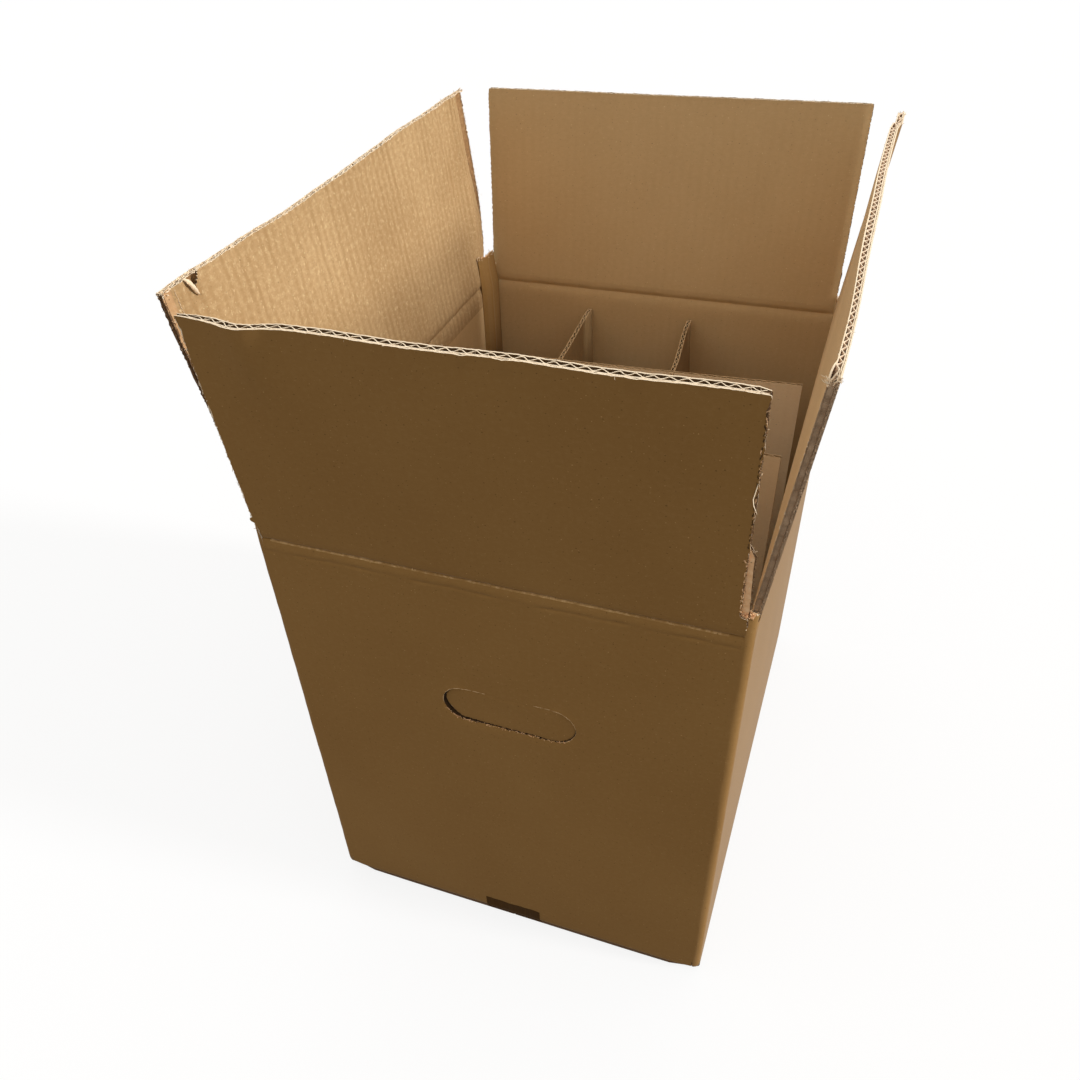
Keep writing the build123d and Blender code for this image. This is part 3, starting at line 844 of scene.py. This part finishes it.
# ---------------- partitions
def partition(name, at, ends, slots, long, lean, slide=None):
    """A single-wall sheet. The long ones are slotted from above, the cross ones from below."""
    m = Mesh()
    marks = [ends[0], *sorted(p + e for p in slots for e in (-SLOT_HALF, SLOT_HALF)), ends[1]]
    brk = SHEET_HIGH - SLOT_DEPTH if long else SHEET_LOW + SLOT_DEPTH
    zs = np.unique(np.concatenate([steps(SHEET_LOW, brk, 16), steps(brk, SHEET_HIGH, 12)[1:-1],
                                   [SHEET_HIGH - 5, SHEET_HIGH - 1, SHEET_HIGH]]).round(4))

    def layer(pitch, centre, wave, mats, top=0.0):
        cols = np.concatenate([[ends[0]]] + [steps(a, b, pitch)[1:] for a, b in zip(marks[:-1], marks[1:])])
        s, z = np.meshgrid(cols, zs, indexing="ij")
        z = np.minimum(z, SHEET_HIGH - top)
        seed = f"{name}{centre + wave * flute(0.1, B_PITCH)}"
        z = z + (z > SHEET_HIGH - top - 0.01) * 0.14 * wobble(s, seed, 2.7, 6.1, 17)
        mids, zm = middles(cols), middles(zs)
        gap = np.zeros((len(mids), len(zm)), bool)
        for p in slots:
            gap |= (np.abs(mids - p) < SLOT_HALF)[:, None] & ((zm > brk) if long else (zm < brk))[None]
        skins = []
        for half in (SHEET_LINER, -SHEET_LINER):
            d = centre + wave * flute(s, B_PITCH) + half + lean(s, z)
            skins.append(np.stack([at + d, s - slide(s, z), z] if long else [s, at - d, z], -1))
        m.sheet(*skins, np.stack([s + 100 * at, z], -1), mats + (CUT,), keep=~gap)

    layer(GRID, SHEET / 2 - SHEET_LINER, 0, (OUTER, MEDIUM, CUT))
    layer(GRID, SHEET_LINER - SHEET / 2, 0, (MEDIUM, INNER, CUT))
    layer(B_PITCH / 8, 0, 0.75, (MEDIUM, MEDIUM, CUT), top=0.1)
    piece = m.build(name + "_board", LONG_MATS if long else CROSS_MATS)
    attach(piece, "case")
    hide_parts(name)


def skew(x, z):
    """The last cross partition stands at a slant. Its left end leans towards the front."""
    u = (CROSS_ENDS[1] - x) / CROSS_LENGTH
    return (1.6 + 15.96 * u - 4.55 * u * u) * smooth(z, 40, SHEET_HIGH)


def long_partition(number, near, middle, far):
    """Its top leans to the left by these amounts, and follows the slanted cross partition."""
    at = LONG_AT[number - 1]

    def lean(y, z):
        reach = near + (middle - near) * smooth(y, -60, 90) + (far - middle) * smooth(y, 92, 168)
        return reach * smooth(z, 156, SHEET_HIGH)

    partition(f"long_partition_{number}", at, LONG_ENDS, CROSS_AT, True, lean,
              lambda y, z: skew(at, z) * eased(y, [1, 93, 168], [0, 1, 0]))


def cross_partition(number, lean):
    partition(f"cross_partition_{number}", CROSS_AT[number - 1], CROSS_ENDS, LONG_AT, False, lean)


def bowed(amount):
    """A lean that is largest at the middle of a cross partition's top."""
    return lambda x, z: amount * np.sin(np.pi * (x - CROSS_ENDS[0]) / CROSS_LENGTH) * smooth(z, 160, SHEET_HIGH)


long_partition(1, -2.0, -3.6, -7.2)
long_partition(2, -0.6, -1.8, -8.0)
cross_partition(1, bowed(0.7))
cross_partition(2, bowed(-0.6))
cross_partition(3, skew)


# ---------------- tape
def tape_material():
    """Brown packing tape, cloudy and finely streaked."""
    mat = bpy.data.materials.new("tape_brown")
    n = Nodes(mat)
    uv = n.new("UVMap").outputs["UV"]
    cloud = n.noise(uv, 60, 3, 0.6)
    streak = n.noise(uv, 1, 2, 0.5, (900, 40))
    colour = n.mixed(n.ranged(cloud, 0.3, 0.7, 0, 1), srgb(62, 41, 17), srgb(76, 52, 24))
    colour = n.mixed(n.ranged(streak, 0.5, 0.75, 0, 0.4), colour, srgb(94, 68, 34))
    n.coated(0.0002, streak, Base_Color=colour, Roughness=n.ranged(cloud, 0.3, 0.7, 0.6, 0.75),
             Specular_IOR_Level=0.03)
    return mat


def tape():
    """Tape over the bottom seam, from the turn-up on the front to the one on the back."""
    m = Mesh()
    # Distance out from the panel and height, from the cut end down and round the edge
    rise = [(0.0, z) for z in (17.6, 16.8, 15.8, 14, 12, 10, 8.6)]
    rise += [(-0.08, 7.6), (-0.4, 6.6), (-0.9, 5.7), (-1.5, 4.9), (-1.95, 4.1), (-2.15, 3.2), (-2.2, 2.2),
             (-2.25, 1.2), (-2.6, 0.4), (-3.6, 0.08), (-6, 0.03)]
    side = np.array([(HALF_L + d + 0.14, z) for d, z in rise])
    flat = [(-y, 0.03) for y in steps(HALF_L - 9, 9 - HALF_L, 20)]
    path = np.concatenate([side * [-1, 1], flat, side[::-1]])
    x = steps(-20, 20, 0.5)
    xx, yy, zz, rr = (np.array(a) for a in np.broadcast_arrays(x[:, None], *path.T, run_along(path)))
    # Both ends are cut by the teeth of a dispenser
    bite = 0.5 * np.abs(((x / 1.6) % 1) - 0.5) + 0.28 * wobble(x, "bite", 11, 23)
    zz[:, 0] += bite - 0.2
    zz[:, -1] += bite[::-1] - 0.2
    level = smooth(np.abs(yy), 170.5, 172.2)
    board = np.where(yy < 0, swell("front", xx, zz), swell("back", -xx, zz))
    lie = board + 0.04 * wobble(xx * 0.8 + rr * 0.3, "tape", 9, 5, 15)
    outer = np.stack([xx, yy + np.sign(yy) * level * lie, zz], -1)
    inner = outer + np.stack([0 * xx, -np.sign(yy) * 0.1 * level, 0.08 * (1 - level)], -1)
    m.sheet(outer[::-1], inner[::-1], np.stack([xx, rr], -1)[::-1], (0, 0, 0))
    piece = m.build("seam_tape", (tape_material(),))
    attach(piece, "case")
    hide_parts("bottom_tape")


tape()


# ---------------- torn fibres
def strands(name, body, lines, material):
    """Thin tubes along short lines of points, each with its radius."""
    m = Mesh()
    for points, radius in lines:
        p = np.asarray(points, float)
        tangent = np.gradient(p, axis=0)
        tangent /= np.linalg.norm(tangent, axis=1)[:, None] + 1e-9
        helper = np.where(np.abs(tangent[:, 2:3]) > 0.9, [[1.0, 0, 0]], [[0, 0, 1.0]])
        a = np.cross(tangent, helper)
        a /= np.linalg.norm(a, axis=1)[:, None]
        b = np.cross(tangent, a)
        taper = radius * np.clip(np.sin(np.linspace(0.25, math.pi - 0.12, len(p))), 0.25, 1)
        ring = [p + (a * math.cos(t) + b * math.sin(t)) * taper[:, None] for t in (0, 2.094, 4.189)]
        first = m.add(np.concatenate(ring), np.concatenate([p[:, :2] + 10 * k for k in range(3)]))
        n = len(p)
        for k in range(3):
            u, w = first + k * n, first + (k + 1) % 3 * n
            m.faces([[u + q, w + q, w + q + 1, u + q + 1] for q in range(n - 1)], 0)
        m.faces([[first, first + 2 * n, first + n]], 0)
        m.faces([[first + n - 1, first + 2 * n - 1, first + 3 * n - 1]], 0)
    piece = m.build(name, (material,), angle=80)
    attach(piece, body)


def tuft(centre, spread, way, length, count, radius):
    """Curled fibres that start within the spread round a centre and head one way."""
    lines = []
    for _ in range(count):
        p = np.array(centre, float) + [rnd.uniform(-a, a) for a in spread]
        heading = np.array(way, float) + [rnd.gauss(0, 0.55) for _ in range(3)]
        heading /= np.linalg.norm(heading)
        curl = np.array([rnd.gauss(0, 0.35) for _ in range(3)])
        size = rnd.uniform(*length)
        pts = []
        for _ in range(5):
            pts.append(p)
            heading = heading + curl * 0.3
            heading /= np.linalg.norm(heading)
            p = p + heading * size / 4
        lines.append((pts, rnd.uniform(*radius)))
    return lines


def burr(point, start, end, radius, wave, gap=0.25, pieces=(2.0, 6.0), draw=None):
    """Ragged paper along an edge: wavy threads with breaks. point(t) gives a place in space."""
    draw = draw or rnd
    lines = []
    t = start
    while t < end - 1.5:
        size = min(draw.uniform(*pieces), end - t)
        along = np.linspace(t, t + size, max(4, int(size / 0.55)))
        pts = [point(x) + np.array([draw.gauss(0, a) for a in wave]) for x in along]
        lines.append((pts, draw.uniform(*radius)))
        t += size + (draw.uniform(0.4, 2.2) if draw.random() < gap else -0.3)
    return lines


def on_flap(wall, layer, s, v, d):
    """A place on a layer of a flap. The next two give one for each height and for each s."""
    return place(wall, *SHAPES[wall](s, v, d, layer))


def up_flap(wall, layer, s, d):
    return lambda v: on_flap(wall, layer, s, v, d)


def across_flap(wall, layer, v, d):
    return lambda s: on_flap(wall, layer, s, v, d)


rnd = random.Random("tufts")
corner_lines = []
for sx, sy, wall, amount in ((1, -1, "front", 30), (1, 1, "right", 36), (-1, 1, "back", 40), (-1, -1, "left", 16)):
    corner_lines += tuft((sx * 129.4, sy * 173.4, WEB_HEIGHTS[wall] - 0.8), (1.3, 1.3, 0.9),
                         (sx * 0.1, sy * 0.1, 1), (1.0, 2.8), amount, (0.16, 0.3))
strands("corner_fibres", "case", corner_lines, torn_face_and_painted_light)

# Left cut of the front flap, its right cut, and the torn liner beside the bare strip
front = burr(up_flap("front", "outer", -127.7, -0.1), 15, 131, (0.18, 0.3), (0.3, 0.2, 0.25), 0.3)
front_right = []
for layer, s, d, *rest in (
    ("outer", 127.4, -0.2, 103, 131, (0.28, 0.44), (0.3, 0.15, 0.2), 0.08),
    ("outer", 127.4, -0.2, 57, 103, (0.16, 0.3), (0.3, 0.15, 0.2), 0.35, (0.6, 2.0)),
    ("inner", 127.3, -4.1, 57, 131, (0.1, 0.2), (0.2, 0.15, 0.2), 0.6, (1.0, 4.0)),
    ("outer", 127.4, -0.2, 14, 53, (0.26, 0.42), (0.3, 0.2, 0.25), 0.1),
    ("outer", 127.9, -1.0, 18, 52, (0.14, 0.24), (0.45, 0.2, 0.4), 0.5),
):
    front_right += burr(up_flap("front", layer, s, d), *rest)
front += burr(across_flap("front", "mid", 53.5, -1.6), 123.5, 128.2, (0.26, 0.36), (0.2, 0.3, 0.5), 0.0)
front += burr(across_flap("front", "mid", 52.0, -1.2), 124.2, 128.0, (0.2, 0.3), (0.2, 0.3, 0.6), 0.0)
for s in (124.6, 126.4, 128.2):
    front_right += tuft(on_flap("front", "mid", s, 14.4, -1.0), (1.0, 0.8, 1.2), (0.1, -0.5, 0.7), (1.4, 3.6), 15,
                        (0.17, 0.32))
# Inner liner and outer plies at the back cut of the left flap
left = burr(up_flap("left", "mid", -169.5, -1.75), 12, 126.5, (0.32, 0.46), (0.2, 0.3, 0.2), 0.05)
for d, radius in ((-0.3, (0.26, 0.4)), (-1.3, (0.3, 0.46)), (-2.7, (0.3, 0.5)), (-4.2, (0.26, 0.4))):
    left += burr(across_flap("left", "outer", 126.95, d), -168, 169, radius, (0.15, 0.25, 0.12), 0.25, (3, 11))
left += burr(up_flap("left", "inner", 164.0, -4.8), 45, 126, (0.16, 0.26), (0.08, 0.2, 0.08), 0.3, (3, 9))
left += burr(up_flap("left", "outer", -169.9, -0.9), 12, 126.5, (0.2, 0.34), (0.12, 0.3, 0.2), 0.3)
for place_at, *rest in (
    ((168.6, 126.2, -1.8), (1.2, 1.4, 0.8), (0.5, -0.7, 0.4), (1.0, 2.6), 46, (0.2, 0.36)),
    ((-169.2, 126.6, -2.0), (1.4, 1.0, 0.6), (0.5, 0.3, 0.6), (0.8, 2.0), 24, (0.18, 0.3)),
):
    left += tuft(on_flap("left", "outer", *place_at), *rest)
right = burr(up_flap("right", "inner", -169.6, -4.2), 10, 118, (0.1, 0.2), (0.15, 0.25, 0.25), 0.6)
for layer, place_at, *rest in (
    ("inner", (-167.5, 126, -3.4), (1.6, 2.2, 1.0), (-0.3, -0.5, 0.5), (1.0, 2.8), 40, (0.14, 0.28)),
    ("outer", (-169.2, 126, -1.2), (1.2, 0.8, 1.0), (0.2, -0.5, 0.6), (0.8, 2.2), 26, (0.14, 0.26)),
    ("outer", (169.2, 126.8, -2.0), (2.0, 0.8, 0.7), (0.1, 0.4, 0.6), (0.8, 2.2), 40, (0.16, 0.3)),
):
    right += tuft(on_flap("right", layer, *place_at), *rest)
flap_lines = {"front": front, "right": right, "back": [], "left": left}
# Loose bits along the side cuts, then along the free edges
for wall, end, amount in (("front", 1, 16), ("front", -1, 20), ("right", -1, 6), ("right", 1, 40), ("left", -1, 14),
                          ("left", 1, 26), ("back", 1, 6), ("back", -1, 6)):
    w = WALLS[wall]
    for _ in range(amount):
        v, d = rnd.uniform(8, w["length"] - 2), rnd.choice((-0.2, -1.3, -4.3, -3.0))
        base = on_flap(wall, "outer", end * (w["span"] - 0.1), v, d)
        way = w["along"] * end * 0.8 + w["out"] * rnd.uniform(-0.2, 0.6)
        flap_lines[wall] += tuft(base, (0.2, 0.2, 0.8), way, (0.6, 1.8), 1, (0.08, 0.17))
for wall, amount in (("front", 70), ("left", 80), ("right", 70), ("back", 50)):
    w = WALLS[wall]
    for _ in range(amount):
        s, d = rnd.uniform(-w["span"] + 3, w["span"] - 3), rnd.choice((-0.3, -0.9, -1.6, -4.2))
        way = w["along"] * rnd.choice((-0.7, 0.7)) + [0, 0, 0.5]
        base = on_flap(wall, "outer", s, w["length"] - 0.1, d)
        flap_lines[wall] += tuft(base, (0.3, 0.3, 0.1), way, (0.5, 1.6), 1, (0.1, 0.2))
for wall, lines in flap_lines.items():
    strands(f"edge_fibres_{wall}", f"flap_{wall}", lines, cut_edge_and_highlight)

LIP_LOOP = 4 * HOLE_FAR + 2 * math.pi * HOLE_R


def lip(run):
    """A place on the outline of the front hand hole, by the length run round it from its left end."""
    straight, bend = 2 * HOLE_FAR, math.pi * HOLE_R / 2
    run = run % LIP_LOOP
    above = min(max(run - bend, 0), straight)
    below = min(max(run - 3 * bend - straight, 0), straight)
    turn = math.pi - (run - above - below) / HOLE_R
    s = HOLE_S - HOLE_FAR + above - below + HOLE_R * math.cos(turn)
    return panel("front", np.array(s), np.array(HOLE_Z + HOLE_R * math.sin(turn)))[0]


lip_lines = burr(lip, -3, 34, (0.24, 0.34), (0.06, 0.06, 0.08), 0.0, (5, 9))
lip_lines += burr(lip, 62, 112, (0.2, 0.32), (0.08, 0.08, 0.1), 0.1, (4, 8))
strands("hand_hole_lip", "case", lip_lines, sheet_edge)
hole_lines = burr(lambda run: lip(run) + [0, 0.1, -0.2], 106, 182, (0.22, 0.42), (0.4, 0.15, 0.3), 0.45, (0.9, 2.6))
for _ in range(210):
    run = rnd.uniform(100, LIP_LOOP - 4)
    if rnd.random() >= 0.4 + 0.5 * math.sin(run * 0.9) * math.sin(run * 0.23):
        hole_lines += tuft(lip(run) + [0, 0.1, -0.1], (0.3, 0.1, 0.2), (0, -0.4, 0.4), (0.5, 1.4), 1, (0.14, 0.28))
strands("hand_hole_fibres", "case", hole_lines, torn_face_and_painted_light)

strands("cut_fibres_front", "flap_front", front_right, torn_face_and_painted_light)
# Dark threads along the right cut of the front flap: painted shade in the gaps between its fibres
dark = burr(up_flap("front", "outer", 127.1, 0.06), 56, 126, (0.22, 0.4), (0.25, 0.04, 0.2), 0.6, (0.8, 2.6),
            random.Random("holes"))
strands("cut_gap_shade_front", "flap_front", dark, slit_edge_shade)

lap_lines = burr(lambda s: place("left", s, lap_top(s) - 0.1, -5.4), -170, -139.5, (0.3, 0.5), (0.4, 0.25, 0.5),
                 0.05, (2, 4))
lap_lines += burr(lambda s: place("left", s, lap_top(s) - 1.4, -5.9), -170, -140, (0.16, 0.3), (0.4, 0.3, 0.6),
                  0.4, (1.5, 3))
for _ in range(40):
    s = rnd.uniform(-170, -140)
    lap_lines += tuft(place("left", s, lap_top(s) - 0.3, -5.4), (0.3, 0.5, 0.3), (0.2, 0, 1), (0.8, 2.2), 1,
                      (0.15, 0.3))
strands("lap_fibres", "flap_left", lap_lines, cut_edge_and_highlight)


def resampled(points, at):
    """Places between the points, at counts along them."""
    points = np.array(points)
    return np.array([np.interp(at, range(len(points)), column) for column in points.T]).T


thread = place("front", *np.array([(124.2, 97.5, -1.2), (124.9, 93.5, -0.5), (124.3, 88.5, 0.3), (123.6, 83.5, 0.5),
                                   (124.1, 80.5, 0.6), (125.2, 77.6, 0.5), (126.1, 75.6, 0.2)]).T)
strands("loose_thread", "flap_front", [(resampled(thread, np.linspace(0, 6, 25)), 0.24)], cut_edge_and_highlight)


def torn_tongue():
    """A strip of the inner liner that was torn at the notch and hangs beside it."""
    m = Mesh()
    q = np.linspace(0, 6, 22)
    line = resampled([(157.0, 128.6, -4.9), (156.4, 127.4, -5.2), (155.5, 125.6, -5.5), (154.5, 123.7, -5.6),
                      (153.6, 121.9, -5.4), (152.8, 120.4, -5.1), (152.2, 119.2, -4.8)], q).T
    width = np.interp(q, [0, 2, 4, 5.4, 6], [2.6, 2.2, 1.7, 1.2, 0.4]) * (1 + 0.12 * wobble(q, "tongue", 1.3, 0.7))
    side = np.linspace(-1, 1, 7)[:, None]
    s = line[0] + side * width * 0.9
    v = line[1] + side * width * 0.5
    d = line[2] + 0.7 * side**2
    skins = [place("left", s + 0.5, v, d + e + 1.6)[::-1] for e in (0.2, -0.2)]
    m.sheet(*skins, np.stack([s, v], -1)[::-1], (MEDIUM, CUT, CUT, CUT))
    piece = m.build("torn_tongue", BOARD_MATS)
    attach(piece, "flap_left")


torn_tongue()


# ---------------- floor, light, camera
def split(n, output, lighting, shown):
    """One shader lights the part, the other shows as the background."""
    n.new(output, Surface=n.fed("MixShader", n.background_rays(), lighting, shown))


def studio():
    """White ground and sky, the key light on the right, and the photo's camera."""
    size = 6.0
    mesh = bpy.data.meshes.new("floor")
    mesh.from_pydata([(-size, -size, 0), (size, -size, 0), (size, size, 0), (-size, size, 0)], [], [(0, 1, 2, 3)])
    floor = added("floor", mesh)
    mat = bpy.data.materials.new("floor_pale")
    mesh.materials.append(mat)
    n = Nodes(mat)
    n.tree.nodes.clear()
    pale = n.fed("BsdfDiffuse", (0.9, 0.9, 0.9, 1))
    shown = n.fed("MixShader", 0.84, pale, n.fed("Emission", (1, 1, 1, 1), 1.0))
    split(n, "OutputMaterial", n.fed("BsdfDiffuse", (0.24, 0.22, 0.2, 1)), shown)

    world = bpy.data.worlds.new("studio")
    bpy.context.scene.world = world
    n = Nodes(world)
    n.tree.nodes.clear()
    up = n.new("SeparateXYZ", Vector=n.new("TexCoord").outputs["Generated"]).outputs["Z"]
    sky = n.fed("Background", (1, 0.97, 0.92, 1), n.ranged(up, 0.0, 0.9, 0.36, 1.05))
    split(n, "OutputWorld", sky, n.fed("Background", (1, 1, 1, 1)))

    # A tall soft light on the right: two lamps, one above the other
    for name, height in (("key_low", 0.28), ("key_high", 0.45)):
        lamp = bpy.data.lights.new(name, "SUN")
        lamp.energy = 1.42
        lamp.angle = math.radians(8)
        key = added(name, lamp)
        key.rotation_euler = Vector((1.0, 0.085, height)).to_track_quat("Z", "Y").to_euler()

    camera = bpy.data.cameras.new("camera")
    camera.sensor_width = 36.0
    camera.lens = 31.405
    camera.shift_x, camera.shift_y = 0.02645, 0.06679
    camera.clip_start, camera.clip_end = 0.01, 50
    eye = added("camera", camera)
    eye.location = (0.1515, -0.49714, 0.61394)
    eye.rotation_euler = tuple(math.radians(a) for a in (47.9309, 2.8282, 20.5774))
    bpy.context.scene.camera = eye
    bpy.context.scene.view_settings.view_transform = "Standard"


studio()

bpy.context.view_layer.update()
